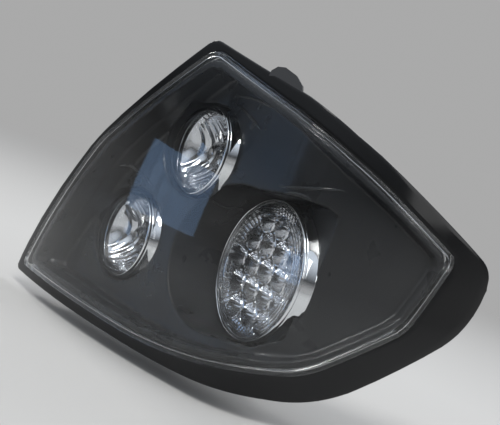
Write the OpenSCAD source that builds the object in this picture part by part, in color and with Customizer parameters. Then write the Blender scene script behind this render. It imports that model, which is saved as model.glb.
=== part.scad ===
// Right-hand tail light cluster that wraps round the corner of a car body.
// Seen from behind the car: X points outboard, Y forward, Z up, in millimetres.
// A place on the lens is given by s, the length along the plan curve, and z, the height;
// d is the depth behind the lens surface. The origin is the seat of the upper stud.

/* [Plan curve] */
// Radius of the rear stretch
rear_r = 520; // [480:10:580]
// Radius of the corner
corner_r = 75; // [72:1:80]
// Radius of the side stretch
side_r = 480; // [420:10:600]
// Direction that the inboard end faces, in degrees off straight back
inboard_deg = 5; // [4:0.5:6]
// Direction at which the corner begins
corner_from_deg = 28; // [27:0.5:29]
// Direction at which the corner ends
corner_to_deg = 78; // [76:0.5:80]
// Radius of the crown from top to bottom
crown_r = 650; // [600:10:900]
// Height at which the crown stands proudest
crown_z = -20; // [-30:1:-10]

/* [Lens] */
// Wall of the outer lens
lens_t = 2.8; // [2.4:0.1:3.4]
// Depth of the foot behind the lens surface
foot_d = 11; // [10:0.5:12]
// Radius of the lens shoulder
shoulder = 1.8; // [1:0.1:2.2]
// Lowest edge of the lens
lens_bottom = -103; // [-106:1:-100]
// Height of the peak
peak_z = 136; // [133:1:140]
// Place of the peak along the plan curve
peak_s = 104; // [100:1:108]
// Outboard end of the lens along the plan curve
tip_s = 400; // [394:1:404]

/* [Housing] */
// Wall of the housing
wall = 2.8; // [2.4:0.1:3.2]
// Thickness of the flange
flange_t = 3; // [2.5:0.1:4]
// Depth of the flange face behind the lens surface
flange_d = 5; // [4.5:0.1:6]
// Width of the glue channel
channel_w = 6; // [5.5:0.1:6.2]
// Gap between the lens foot and the channel
foot_gap = 1; // [0.6:0.1:1.2]
// Depth of the bead under the foot
bead_t = 1.4; // [1:0.1:2]
// Place of the back wall at the inboard edge
back_y = 66; // [64:1:70]
// Rise of the back wall outboard
back_slope = 0.45; // [0.44:0.01:0.48]
// Depth of the outboard ear
ear_d = 30; // [29:0.5:33]
// Draft of the tub over its whole depth
draft = 1.2; // [0.8:0.1:2]

/* [Bezel] */
// Wall of the bezel
trim_t = 2.2; // [1.6:0.1:2.4]
// Width of the bezel's lip
lip_w = 5.8; // [5.2:0.1:6.2]
// Depth of the lip behind the lens surface
lip_d = 4.8; // [4.6:0.1:5]
// Depth of the ledge that runs round the bezel, as a share of the floor's depth
ledge_share = 0.6; // [0.5:0.05:0.7]
// Width of the ledge
ledge_w = 0.8; // [0.5:0.1:1.2]

/* [Small pods] */
// Outer radius of a small ring
small_r = 38; // [37:0.5:38.5]
// Height of a small ring
small_h = 11; // [9:0.5:12]
// Rise of a small dome
small_rise = 13; // [10:0.5:16]
// Focal length of a small reflector
small_focus = 6.9; // [6.6:0.1:7.2]
// Depth of the holder seat behind the pod's face
seat_d = 46; // [45:0.5:48]
// Radius of the glass of a bulb
bulb_r = 12.5; // [11:0.5:12.5]
// Radius of the base of a bulb
base_r = 7.6; // [7:0.1:7.8]

/* [Stop pod] */
// Outer radius of the stop ring
stop_r = 59.5; // [58:0.5:60]
// Height of the stop ring
stop_h = 14; // [12:0.5:15]
// Rise of the stop cover
stop_rise = 9; // [6:0.5:12]
// Distance between the cups
cup_pitch = 22; // [21:0.5:22]
// Depth of a cup
cup_d = 16; // [12:0.5:16]

/* [Chrome rings] */
// Wall of a ring
ring_t = 1.8; // [1.4:0.1:2.2]
// Thickness of a clear cover
cover_t = 2.4; // [2:0.1:3]

/* [Mounting] */
// Radius of a stud
stud_r = 3; // [2.5:0.5:4]
// Free length of a stud
stud_l = 22; // [18:1:30]
// Radius of a stud boss
boss_r = 9; // [8:0.5:10]
// Radius of the locating ball
ball_r = 5; // [4:0.5:6]
// Thickness of the foam gasket
gasket_t = 5; // [4:0.5:5.5]

/* [Connector] */
// Width of the socket
socket_w = 27; // [25:0.5:28]
// Height of the socket
socket_h = 19; // [17:0.5:20]
// Depth of the socket's mouth
socket_d = 16; // [14:0.5:20]
// Number of blades
blades = 4; // [3:1:5]

/* [Hidden] */
$fn = 64;
slack = 0.2;                 // gap between pieces that are set against each other
eps = 0.01;

// Derived sizes of the rim
foot_in = 3;                                    // width of the lens foot
channel_out = foot_gap;                         // outside the lens outline
channel_in = channel_w - foot_gap;              // inside it
channel_d = foot_d + bead_t + 0.1;
rim_out = channel_out + 2.5;                    // outer face of the channel's outer wall
rim_d = channel_d + 2.5;                        // back of the channel
gasket_d = rim_d + 0.15;
neck_d = gasket_d + gasket_t + 0.5;             // depth to which the tub's wall runs square to the lens
rib_in = channel_in + 2.5;                      // inner face of the channel's inner wall
tub_in = channel_in + wall;                     // inner face of the tub
lip_in = channel_in + lip_w;                    // opening of the bezel
shelf_d = lip_d + 2.2;                          // top of the channel's inner wall

// Corners of the lens outline, clockwise from the lower inboard one: s, z and how far the
// rounding reaches along each side
lens_corners = [[-34, lens_bottom, 8], [24, 31, 10], [peak_s, peak_z, 11], [268, 101, 60],
    [tip_s, 48, 10], [tip_s - 26, -20, 10], [300, -77, 20], [170, lens_bottom, 50]];
// How far each corner of the flange stands outside the lens corner, and how much rounder it is
flange_out = [[-22, -9, -1], [-10, 1, 4], [-10, 8, -3], [-6, 18, 0], [55, -2, 14], [68, 12, 18], [25, -21, 20],
    [30, -9, 0]];
flange_corners = lens_corners + flange_out;
// Depth of the bezel's floor behind the lens along the plan curve
floor_depth = [[-60, 28], [30, 38], [115, 34], [209, 22], [260, 14], [290, 12], [480, 12]];

// Pods: X and Z of the axis and Y of the face
lower_pod = [48.5, 48, -37];
upper_pod = [93.5, 62, 54.5];
stop_pod = [164, 110, -17];

// Stud axes: X and Z
upper_stud = [112, 112];
lower_stud = [-2, -82];
outer_stud = [210, 58];
vents = [[42, 24], [160, 68]];
socket_at = [102, -80];
tab_s = 184;
tab_lean = 8;
ear_boss = [226.5, 246, 22];   // root of the boss that carries the ball stud
// Ribs on the back: X at each end and the height they run at
back_ribs = [[26, 104, 8], [0, 23, -61], [70, 107, -52], [100, 166, 88], [114, 130, 40]];
rib_t = 2;
rib_h = 5;

// Plan curve
function rad(a) = a * PI / 180;
function unit(v) = v / norm(v);
function mix(a, b, f) = a + (b - a) * f;
rear_l = rear_r * rad(corner_from_deg - inboard_deg);
corner_l = corner_r * rad(corner_to_deg - corner_from_deg);
side_s = rear_l + corner_l;
function facing(s) =
    s < rear_l ? inboard_deg + s / rear_r / rad(1) :
    s < side_s ? corner_from_deg + (s - rear_l) / corner_r / rad(1) :
    corner_to_deg + (s - side_s) / side_r / rad(1);
function sweep(r, a, b) = r * [sin(b) - sin(a), cos(a) - cos(b)];
rear_end = sweep(rear_r, inboard_deg, corner_from_deg);
corner_end = rear_end + sweep(corner_r, corner_from_deg, corner_to_deg);
function plan(s) =
    s < rear_l ? sweep(rear_r, inboard_deg, facing(s)) :
    s < side_s ? rear_end + sweep(corner_r, corner_from_deg, facing(s)) :
    corner_end + sweep(side_r, corner_to_deg, facing(s));
function inward(s, d) = plan(s) + d * [-sin(facing(s)), cos(facing(s))];
function crown(z) = crown_r - sqrt(crown_r * crown_r - (z - crown_z) * (z - crown_z));
function skin(p, d) = let (q = inward(p[0], d + crown(p[1]))) [q[0], q[1], p[1]];

// An outline moved inwards by e, side by side, with the same rounding
function inset(c, e) = [for (i = [0:7]) let (
    u = unit(flat(c[i]) - flat(c[(i + 7) % 8])),
    v = unit(flat(c[(i + 1) % 8]) - flat(c[i])),
    m = [u[1], -u[0]], n = [v[1], -v[0]],
    p = flat(c[i]) + e * (m + n) / (1 + m * n)) [p[0], p[1], c[i][2]]];
function flat(p) = [p[0], p[1]];
// Curve round corner i, from f = 0 on the side before it to f = 1 on the side after it
function before(c, i) = flat(c[i]) - unit(flat(c[i]) - flat(c[(i + 7) % 8])) * c[i][2];
function after(c, i) = flat(c[i]) + unit(flat(c[(i + 1) % 8]) - flat(c[i])) * c[i][2];
function bend(c, i, f) =
    before(c, i) * (1 - f) * (1 - f) + flat(c[i]) * 2 * f * (1 - f) + after(c, i) * f * f;
// Where the curve round a corner reaches furthest along s
function reach(c, i) = let (a = before(c, i)[0], b = c[i][0], e = after(c, i)[0]) (a - b) / (a - 2 * b + e);
bends = 6;
function part_bend(c, i, f0, f1) = [for (k = [0:bends]) bend(c, i, mix(f0, f1, k / bends))];
function upper_edge(c) = concat(part_bend(c, 0, reach(c, 0), 1), part_bend(c, 1, 0, 1),
    part_bend(c, 2, 0, 1), part_bend(c, 3, 0, 1), part_bend(c, 4, 0, reach(c, 4)));
function lower_edge(c) = concat(part_bend(c, 0, reach(c, 0), 0), part_bend(c, 7, 1, 0),
    part_bend(c, 6, 1, 0), part_bend(c, 5, 1, 0), part_bend(c, 4, 1, reach(c, 4)));

// Columns along s: close together at both ends, at the peak and round the corner
left_n = 11;
top_n = 7;
corner_n = 8;
side_n = 10;
cols = left_n + top_n + corner_n + side_n;
ring_n = 2 * cols;
function columns(c) = let (a = bend(c, 0, reach(c, 0))[0], b = c[2][0], e = bend(c, 4, reach(c, 4))[0]) concat(
    [for (i = [0:left_n - 1]) let (f = i / left_n) mix(a, b, f - 0.11 * sin(360 * f))],
    [for (i = [0:top_n - 1]) mix(b, rear_l, pow(i / top_n, 1.2))],
    [for (i = [0:corner_n - 1]) rear_l + corner_l * i / corner_n],
    [for (i = [0:side_n]) mix(side_s, e, 1 - pow(1 - i / side_n, 1.5))]);
// The outline as ring_n places: along the lower edge, then back along the upper edge
function outline(c) = let (x = columns(c), up = upper_edge(c), low = lower_edge(c)) concat(
    [for (j = [0:cols]) [x[j], lookup(x[j], low)]],
    [for (j = [cols - 1:-1:1]) [x[j], lookup(x[j], up)]]);
function ring(c, e, d) = [for (p = outline(inset(c, e))) skin(p, d)];
function lens_ring(e, d) = ring(lens_corners, e, d);

// Place at depth d on a wall that runs square to the lens down to the neck, then straight
// forward. Round the corner it turns to run square to the lens all the way.
function deep(p, d) =
    let (w = max(0, min(1, (p[0] - rear_l) / corner_l)), q = skin(p, min(d, neck_d)),
        k = max(0, d - neck_d) / cos(min(facing(p[0]), corner_from_deg)))
    mix([q[0], q[1] + k, q[2]], skin(p, d), w);
// Ring on the bezel at a share of the floor's depth
function floor_ring(e, share, more) = [for (p = outline(inset(lens_corners, e)))
    deep(p, lookup(p[0], floor_depth) * share + more)];
// Ring on the housing's back
ear_s = 345;                 // where the back wall meets the ear
turn_x = skin([rear_l, 0], neck_d)[0];
function back_at(x) = back_y + back_slope * x;
function back_plan(p, less) =
    let (s = p[0], x = min(skin(p, neck_d)[0], turn_x), b = inward(ear_s, ear_d - less))
    s < rear_l ? [x, back_at(x) - less * 1.1] :
    s < ear_s ? mix([turn_x, back_at(turn_x) - less * 1.1], b, (s - rear_l) / (ear_s - rear_l)) :
    inward(s, ear_d - less);
function back_ring(e, less) = [for (p = outline(inset(lens_corners, e)))
    let (q = back_plan(p, less)) [q[0], q[1], p[1]]];
// Y of the back wall at a given X, also where it turns towards the ear
function back_wall(x) = let (b = inward(ear_s, ear_d))
    x < turn_x ? back_at(x) : mix(back_at(turn_x), b[1], (x - turn_x) / (b[0] - turn_x));

// Solids between rings. A band closes on itself; a loft is closed by a face at each end, whose
// columns run from the lower edge to the upper edge in the given number of rows
function strip(a, b) = [for (k = [0:ring_n - 1]) let (m = (k + 1) % ring_n)
    each [[a + k, a + m, b + m], [a + k, b + m, b + k]]];
function spot(j, i, rows, first, inner) =
    j == 0 || j == cols ? first + j : i == 0 ? first + j : i == rows ? first + ring_n - j :
    inner + (j - 1) * (rows - 1) + i - 1;
function end_face(rows, first, inner) = [for (j = [0:cols - 1], i = [0:rows - 1]) let (
    a = spot(j, i, rows, first, inner), b = spot(j, i + 1, rows, first, inner),
    c = spot(j + 1, i + 1, rows, first, inner), d = spot(j + 1, i, rows, first, inner))
    each (j == 0 ? [[a, c, d]] : j == cols - 1 ? [[a, b, c]] : [[a, b, c], [a, c, d]])];
function turned(faces) = [for (f = faces) [f[2], f[1], f[0]]];
function inner_points(e, d, rows) = let (o = outline(inset(lens_corners, e)))
    [for (j = [1:cols - 1], i = [1:rows - 1]) skin(mix(o[j], o[ring_n - j], i / rows), d)];
module band(rings) {
    n = len(rings);
    polyhedron([for (r = rings) each r],
        [for (i = [0:n - 1]) each strip(i * ring_n, ((i + 1) % n) * ring_n)]);
}
module loft(rings, rows = 1, front = [], back = []) {
    n = len(rings);
    last = (n - 1) * ring_n;
    polyhedron(concat([for (r = rings) each r], front, back),
        concat([for (i = [0:n - 2]) each strip(i * ring_n, (i + 1) * ring_n)],
            end_face(rows, 0, n * ring_n),
            turned(end_face(rows, last, n * ring_n + len(front)))));
}

// Frames
function seat_y(x) = back_wall(x + boss_r) + 2;
module place() translate([-upper_stud[0], -seat_y(upper_stud[0]), -upper_stud[1]]) children();
// Children are drawn along an axis that points forward, with their zero at the given place
module forward(p) translate(p) rotate([-90, 0, 0]) children();
module tube(r, r_in, a, b) translate([0, 0, a]) difference() {
    cylinder(r = r, h = b - a);
    translate([0, 0, -1]) cylinder(r = r_in, h = b - a + 2);
}
module disc(r, a, b) translate([0, 0, a]) cylinder(r = r, h = b - a);
module around(n, r, from = 0) for (i = [0:n - 1]) rotate(from + i * 360 / n) translate([r, 0, 0]) children();

// Derived sizes of the pods
small_in = small_r - ring_t;                    // bore of a small ring
cover_r = small_in - slack;
mirror_r = cover_r - 2;                         // mouth of a small reflector
mirror_z = 3 + slack;                           // its depth behind the pod's face
neck_r = 13;
neck_z = mirror_z + (mirror_r * mirror_r - neck_r * neck_r) / 4 / small_focus;
well_r = small_r + 2.5;
// How far a small well reaches in front of the pod's face
function well_l(p) = p == upper_pod ? 12 : 17;
can_r = well_r + trim_t + 0.3;                  // inside of the housing round a small pod
screw_r = 1.5;
screw_at = 38.5;                                // radius of the screw circle of a small reflector
flange_z = small_h + trim_t + 4.3;              // front of a small reflector's ears
ear_r = 4;
bowl_at_ear = 27.4;                             // radius at which an ear starts inside the bowl's wall
holder_hole_r = 15;
pocket_r = 24;
can_lap = 0.9;                                  // how far a small pod's can reaches behind the pocket's floor
socket_t = 3;                                   // wall round the harness socket
seam_deg = 25;                                  // keeps the seam of a pocket's wall off the back's edges
small_screw_deg = [30, 150, 270];
stop_in = stop_r - ring_t - 0.4;
stop_mirror_r = stop_in - 1.3;
stop_well_r = stop_r + 1.5;
stop_mouth = 62;                                // how far the stop well reaches in front of the pod's face
slot_top = [45, -69];                           // upper corner of the slot outboard of the stop pod
slot_end = 58;                                  // its outboard end
slot_round = 10;
stop_front = 8;                                 // depth of the face between the cups
stop_back = stop_front + cup_d + 2;
board_t = 1.6;
board_z = stop_back + 0.1;
stop_can_d = 40;                                // depth of the can behind the pod's face
stop_flange_z = stop_h + trim_t + 2;
stop_screw_at = 61;
stop_can_r = stop_screw_at + 5;
stop_screw_deg = [90, 200, 300];
cup_r = cup_pitch / 2 - 0.4;
cup_places = concat([[0, 0]],
    [for (k = [1:2], a = [0:60:300]) k * cup_pitch * [cos(a), sin(a)]],
    [for (a = [30:60:330]) sqrt(3) * cup_pitch * [cos(a), sin(a)]]);
board_screw_at = 50;
blade_w = 2.8;
blade_l = 10;

module small_cans(less) for (p = [lower_pod, upper_pod]) forward(p)
    disc(can_r + wall - less, less - well_l(p) - trim_t - wall - 0.5, seat_d + can_lap - less);
module stop_can(less) forward(stop_pod)
    disc(stop_can_r + wall - less, less - 14, stop_can_d - less);

// Screw bosses inside the housing, from behind a reflector to the back
module screw_post(p, z, r, a, can) forward(p) rotate(-a) translate([r, 0, 0])
    disc(3.4, z, max(can, back_wall(p[0] + r * cos(a)) - p[1]) - 1);
module screw_bore(p, z, r, a) forward(p) rotate(-a) translate([r, 0, 0]) disc(screw_r, z - 1, z + 12);

module rounded(w, h, r) {
    square([w - 2 * r, h], center = true);
    square([w, h - 2 * r], center = true);
    for (x = [-1, 1], y = [-1, 1]) translate([x * (w / 2 - r), y * (h / 2 - r)]) circle(r, $fn = 24);
}
module block(w, h, r, a, b) translate([0, 0, a]) linear_extrude(b - a) rounded(w, h, r);
socket_y = back_wall(socket_at[0] + socket_w / 2 + socket_t) + 1;
module at_socket() forward([socket_at[0], socket_y, socket_at[1]]) children();
root_r = stud_r + 0.6;                          // knurled root that is moulded into the boss
root_l = 12;
module at_stud(p) forward([p[0], seat_y(p[0]), p[1]]) children();
module at_vent(p) forward([p[0], back_wall(p[0] + 8) + 4, p[1]]) children();

module housing() color("#1c1d1f") place() difference() {
    union() {
        difference() {
            union() {
                band([ring(flange_corners, 0, flange_d), ring(flange_corners, 0, flange_d + flange_t),
                    lens_ring(-rim_out, flange_d + flange_t), lens_ring(-rim_out, rim_d),
                    lens_ring(rib_in, rim_d), lens_ring(rib_in, shelf_d), lens_ring(channel_in, shelf_d),
                    lens_ring(channel_in, channel_d), lens_ring(-channel_out, channel_d),
                    lens_ring(-channel_out, flange_d)]);
                loft([lens_ring(channel_in, channel_d + 1), lens_ring(channel_in + 0.2, neck_d),
                    back_ring(channel_in + draft, 0)]);
                small_cans(0);
                stop_can(0);
            }
            loft([lens_ring(tub_in, -30), lens_ring(tub_in, channel_d + 1), lens_ring(tub_in + 0.2, neck_d),
                back_ring(tub_in + draft, wall)]);
            small_cans(wall);
            stop_can(wall);
        }
        for (p = [lower_pod, upper_pod]) {
            forward(p) rotate(seam_deg)
                disc(pocket_r + wall, seat_d - wall, back_wall(p[0] + pocket_r + wall) - p[1] + 1);
            for (a = small_screw_deg) screw_post(p, flange_z + 2.1, screw_at, a, seat_d);
        }
        for (a = stop_screw_deg) screw_post(stop_pod, stop_flange_z + 2.1, stop_screw_at, a, stop_can_d);
        for (p = [upper_stud, lower_stud, outer_stud])
            at_stud(p) disc(boss_r, back_wall(p[0] - boss_r) - seat_y(p[0]) - 1, 0);
        for (p = vents) at_vent(p) disc(4, -10, 5);
        at_socket() block(socket_w + 2 * socket_t, socket_h + 2 * socket_t, 4,
            back_wall(socket_at[0] - socket_w / 2 - socket_t) - socket_y - 1, 0);
        forward(ear_boss) cylinder(r = boss_r, h = 18);
        for (r = back_ribs) back_rib(r[0], r[1], r[2]);
        top_tab();
    }
    for (p = [lower_pod, upper_pod]) forward(p) {
        disc(pocket_r, seat_d, seat_d + 60);
        disc(holder_hole_r, seat_d - 10, seat_d + 1);
        translate([0, 0, seat_d]) around(3, holder_hole_r) cube([5.2, 7, 20], center = true);
        for (a = small_screw_deg) rotate(-a) translate([screw_at, 0, 0]) disc(screw_r, flange_z + 1, flange_z + 14);
    }
    for (a = stop_screw_deg) screw_bore(stop_pod, stop_flange_z + 2, stop_screw_at, a);
    for (p = [upper_stud, lower_stud, outer_stud]) at_stud(p) disc(root_r, -root_l, 1);
    for (p = vents) at_vent(p) disc(2, -30, 6);
    at_socket() block(socket_w, socket_h, 2, -40, 1);
    forward(ear_boss) disc(2.5, 6, 19);
}
// Stiffening rib along the back, from one X to another at a height
module back_rib(x0, x1, z) translate([0, 0, z - rib_t / 2]) linear_extrude(rib_t) polygon([
    [x0, back_wall(x0) - 1], [x0 + rib_h, back_wall(x0 + rib_h) + rib_h],
    [x1 - rib_h, back_wall(x1 - rib_h) + rib_h], [x1, back_wall(x1) - 1]]);
// Clip tab above the flange, seen along its thickness
module top_tab() translate(skin([tab_s, 127], flange_d + flange_t / 2)) rotate([90 - tab_lean, 0, facing(tab_s)])
    translate([0, 0, -flange_t / 2 + 0.5]) linear_extrude(flange_t - 1)
        polygon([[-17, -3], [-17, 8], [-13, 12.5], [-6, 14], [6, 11], [15, 5], [17, 1], [17, -3]]);

lens_rows = 7;
module outer_lens() color("#e8eef2", 0.35) place()
    loft([lens_ring(shoulder, 0), lens_ring(shoulder * 0.3, shoulder * 0.3), lens_ring(0, shoulder),
        lens_ring(0, foot_d), lens_ring(foot_in, foot_d), lens_ring(foot_in, lens_t + shoulder),
        lens_ring(foot_in + shoulder * 0.8, lens_t)], lens_rows,
        inner_points(shoulder, 0, lens_rows), inner_points(foot_in + shoulder * 0.8, lens_t, lens_rows));

module lens_sealant() color("#2b2b2b") place()
    band([lens_ring(-channel_out + slack, foot_d + 0.1), lens_ring(-channel_out + slack, channel_d - 0.1),
        lens_ring(channel_in - slack, channel_d - 0.1), lens_ring(channel_in - slack, foot_d + 0.1)]);

module bezel_space(more, front = []) {
    ledge_in = lip_in + 0.3 - more;
    loft(concat(front, [lens_ring(lip_in - more, lip_d), floor_ring(ledge_in, ledge_share, 0),
        floor_ring(ledge_in + ledge_w, ledge_share, 1), floor_ring(ledge_in + ledge_w + 0.3, 1, more)]));
    for (p = [lower_pod, upper_pod]) forward(p) disc(well_r + more, -well_l(p) - more, small_h + more);
    forward(stop_pod) {
        disc(stop_well_r + more, -stop_mouth, stop_h + more);
        stop_slot(more);
    }
}
// The stop well runs on outboard as a slot, under a roof that falls with the lens's upper edge
module stop_slot(more) translate([0, 0, -30]) linear_extrude(30 + stop_h + more)
    offset(r = slot_round + more, $fn = 48) offset(delta = -slot_round)
        polygon([[0, -stop_well_r], slot_top, [slot_end, slot_top[1]], [slot_end, 38], [46, 54], [0, stop_well_r]]);
module bezel() color("#34373a") place() difference() {
    union() {
        difference() {
            bezel_space(trim_t);
            bezel_space(0, [lens_ring(lip_in, -80)]);
        }
        band([lens_ring(channel_in + slack, lip_d), lens_ring(channel_in + slack, shelf_d - slack),
            lens_ring(lip_in + eps, shelf_d - slack), lens_ring(lip_in + eps, lip_d)]);
    }
    for (p = [lower_pod, upper_pod]) forward(p) disc(cover_r + 0.3, 2, 30);
    forward(stop_pod) disc(stop_mirror_r + 0.4, 2, 30);
}

module pod_ring(r, r_in, h) rotate_extrude($fn = 96)
    polygon([[r_in, 0], [r - 0.9, 0], [r - 0.25, 0.3], [r, 1], [r, h], [r_in, h]]);
module upper_ring() color("#d5d8da") place() forward(upper_pod) pod_ring(small_r, small_in, small_h - 0.1);
module lower_ring() color("#d5d8da") place() forward(lower_pod) pod_ring(small_r, small_in, small_h - 0.1);
module stop_ring() color("#d5d8da") place() forward(stop_pod) pod_ring(stop_r, stop_in, stop_h - 0.1);

// Clear cover: a dome on a short skirt
module cover(r, rise, skirt) {
    dome_r = (r * r + rise * rise) / 2 / rise;
    difference() {
        intersection() {
            translate([0, 0, dome_r - rise]) sphere(dome_r, $fn = 96);
            disc(r, -rise - 1, eps);
        }
        translate([0, 0, dome_r - rise]) sphere(dome_r - cover_t, $fn = 96);
    }
    tube(r, r - cover_t, 0, skirt);
}
module upper_pod_lens() color("#eef3f6", 0.4) place() forward(upper_pod) cover(cover_r, small_rise, 3);
module lower_pod_lens() color("#eef3f6", 0.4) place() forward(lower_pod) cover(cover_r, small_rise, 3);
module stop_pod_lens() color("#eef3f6", 0.4) place() forward(stop_pod) {
    cover(stop_in - slack, stop_rise, 4);
    for (r = [stop_in - 9, stop_in - 5.5]) rotate_extrude($fn = 96)
        translate([r, -1.2]) square([1.2, 2]);
}

// Bright bowl of a small pod: a parabola with a neck and three ears for screws
module bowl() rotate_extrude($fn = 96) {
    steps = 8;
    inner = [for (i = [0:steps]) let (r = mix(mirror_r, neck_r, i / steps))
        [r, mirror_z + (mirror_r * mirror_r - r * r) / 4 / small_focus]];
    outer = [for (i = [steps:-1:0]) [inner[i][0] + 1.8, inner[i][1]]];
    polygon(concat(inner, [[neck_r, neck_z + 1], [neck_r + 1.8, neck_z + 1]], outer));
}
module bowl_with_ears() difference() {
    union() {
        bowl();
        for (a = small_screw_deg) rotate(-a) {
            translate([screw_at, 0, 0]) disc(ear_r, flange_z, flange_z + 1.8);
            translate([bowl_at_ear, -ear_r, flange_z]) cube([screw_at - bowl_at_ear, 2 * ear_r, 1.8]);
        }
    }
    for (a = small_screw_deg) rotate(-a) translate([screw_at, 0, 0]) disc(screw_r + 0.2, flange_z - 1, flange_z + 3);
}
module upper_reflector() color("#c9cdd0") place() forward(upper_pod) bowl_with_ears();
module lower_reflector() color("#c9cdd0") place() forward(lower_pod) bowl_with_ears();

// Plate with a hexagon of cups, each a parabola with a hole for its diode
module cup_cut() rotate_extrude($fn = 32) {
    hole = 3.3;
    steps = 5;
    polygon(concat([[0, stop_front - 1], [cup_r, stop_front - 1]],
        [for (i = [0:steps]) let (r = mix(cup_r, hole, i / steps))
            [r, stop_front + cup_d * (1 - (r * r - hole * hole) / (cup_r * cup_r - hole * hole))]],
        [[hole, stop_back + 1], [0, stop_back + 1]]));
}
module stop_reflector() color("#c9cdd0") place() forward(stop_pod) difference() {
    union() {
        disc(stop_mirror_r, 4 + slack, stop_back);
        disc(stop_mirror_r + 2, stop_flange_z, stop_flange_z + 2);
        for (a = stop_screw_deg) rotate(-a) translate([stop_screw_at, 0, 0]) disc(4, stop_flange_z, stop_flange_z + 2);
    }
    disc(stop_mirror_r - 1.6, 0, stop_front);
    for (q = cup_places) translate(q) cup_cut();
    for (a = stop_screw_deg) rotate(-a) translate([stop_screw_at, 0, 0])
        disc(screw_r + 0.2, stop_flange_z - 1, stop_flange_z + 3);
    around(4, board_screw_at, 45) disc(screw_r, stop_back - 10, stop_back + 1);
}

module led_board() color("#2d6a3e") place() forward(stop_pod) difference() {
    disc(stop_mirror_r - 2, board_z, board_z + board_t);
    around(4, board_screw_at, 45) disc(screw_r + 0.2, board_z - 1, board_z + board_t + 1);
}
module leds() color("#e9d98a") place() forward(stop_pod)
    for (q = cup_places) translate([q[0], q[1], board_z - 0.9]) cube([4.2, 4.2, 1.8], center = true);
module board_connector() color("#e6e3d6") place() forward(stop_pod)
    translate([0, 0, board_z + board_t]) difference() {
        translate([-7, -3.5, 0]) cube([14, 7, 7]);
        translate([-5.5, -2.2, 2]) cube([11, 4.4, 6]);
    }
// Pan-head screw with its head's underside at zero, shaft along +Z
module pan_screw(l) {
    rotate_extrude($fn = 32) polygon([[0, -1.8], [1.6, -1.8], [2.6, -1.1], [2.9, 0], [0, 0]]);
    cylinder(r = screw_r - 0.05, h = l, $fn = 32);
}
module board_screws() color("#b9bcc0") place() forward(stop_pod)
    around(4, board_screw_at, 45) translate([0, 0, board_z + board_t]) mirror([0, 0, 1]) pan_screw(8);
module reflector_screws() color("#b9bcc0") place() {
    for (p = [lower_pod, upper_pod]) forward(p) for (a = small_screw_deg)
        rotate(-a) translate([screw_at, 0, flange_z]) pan_screw(10);
    forward(stop_pod) for (a = stop_screw_deg)
        rotate(-a) translate([stop_screw_at, 0, stop_flange_z]) pan_screw(10);
}

// Bulb: round glass on a metal base with two pins
glass_z = 20.5;
module bulb() {
    rotate_extrude($fn = 48) {
        intersection() {
            translate([0, glass_z]) circle(bulb_r, $fn = 64);
            translate([0, 0]) square([bulb_r + 1, 60]);
        }
        polygon([[0, glass_z], [bulb_r * 0.86, glass_z + bulb_r * 0.5], [base_r + 0.6, glass_z + 12.5],
            [base_r + 0.6, glass_z + 14], [base_r, glass_z + 14], [base_r, 49], [5, 50.5], [0, 50.5]]);
    }
    for (a = [90, 270]) rotate(a) translate([base_r - 1, 0, 46]) rotate([0, 90, 0]) cylinder(r = 1, h = 2.4, $fn = 24);
}
module upper_bulb() color("#dcdcd2") place() forward(upper_pod) bulb();
module lower_bulb() color("#dcdcd2") place() forward(lower_pod) bulb();

// Twist-in holder: plug with three lugs, flange, body with a grip and a terminal block
module holder() difference() {
    union() {
        disc(12.4, 36, 44);
        disc(holder_hole_r - 0.5, seat_d - wall, seat_d + 2.4);
        disc(21, seat_d + 2.3, seat_d + 4.6);
        disc(16, seat_d + 4.5, seat_d + 13);
        block(14, 30, 3, seat_d + 4.5, seat_d + 12);
        block(20, 13, 2, seat_d + 12.9, seat_d + 22);
        intersection() {
            around(3, holder_hole_r - 1.6, 40) cube([5.6, 6, 100], center = true);
            disc(holder_hole_r + 2.2, seat_d - wall - 2.7, seat_d - wall - 0.2);
        }
        disc(holder_hole_r - 2.4, seat_d - wall - 4, seat_d);
    }
    disc(base_r + 0.15, 30, 50.8);
    translate([0, 0, 45.9]) cube([3, 2 * base_r + 4.4, 3], center = true);
    block(17, 10, 1, seat_d + 15, seat_d + 23);
}
module upper_bulb_holder() color("#3a3c3e") place() forward(upper_pod) holder();
module lower_bulb_holder() color("#3a3c3e") place() forward(lower_pod) holder();
module holder_seal() tube(19.8, holder_hole_r + 0.5, seat_d + 0.05, seat_d + 2.25);
module upper_holder_seal() color("#5a2e22") place() forward(upper_pod) holder_seal();
module lower_holder_seal() color("#5a2e22") place() forward(lower_pod) holder_seal();

// Socket: zero at the flange's seat on the housing
module harness_connector() color("#2a2c30") place() at_socket() difference() {
    union() {
        block(socket_w - 0.4, socket_h - 0.4, 2, -12, 0.2);
        block(socket_w + 5, socket_h + 5, 4, 0.1, 2.4);
        block(socket_w - 1, socket_h - 1, 2, 2.3, 2.4 + socket_d);
        translate([-3, socket_h / 2 - 1, 2.3]) cube([6, 3, socket_d - 4]);
    }
    block(socket_w - 4.4, socket_h - 4.4, 1.2, 2.4, 3 + socket_d);
    for (i = [0:blades - 1]) translate([(i - (blades - 1) / 2) * 5, 0, -20]) cube([blade_w, 0.8, 60], center = true);
}
module connector_terminals() color("#c8b46a") place() at_socket()
    for (i = [0:blades - 1]) translate([(i - (blades - 1) / 2) * 5, 0, 0])
        translate([-blade_w / 2, -0.4, -17]) cube([blade_w, 0.8, 17 + 2.4 + blade_l]);

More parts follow.
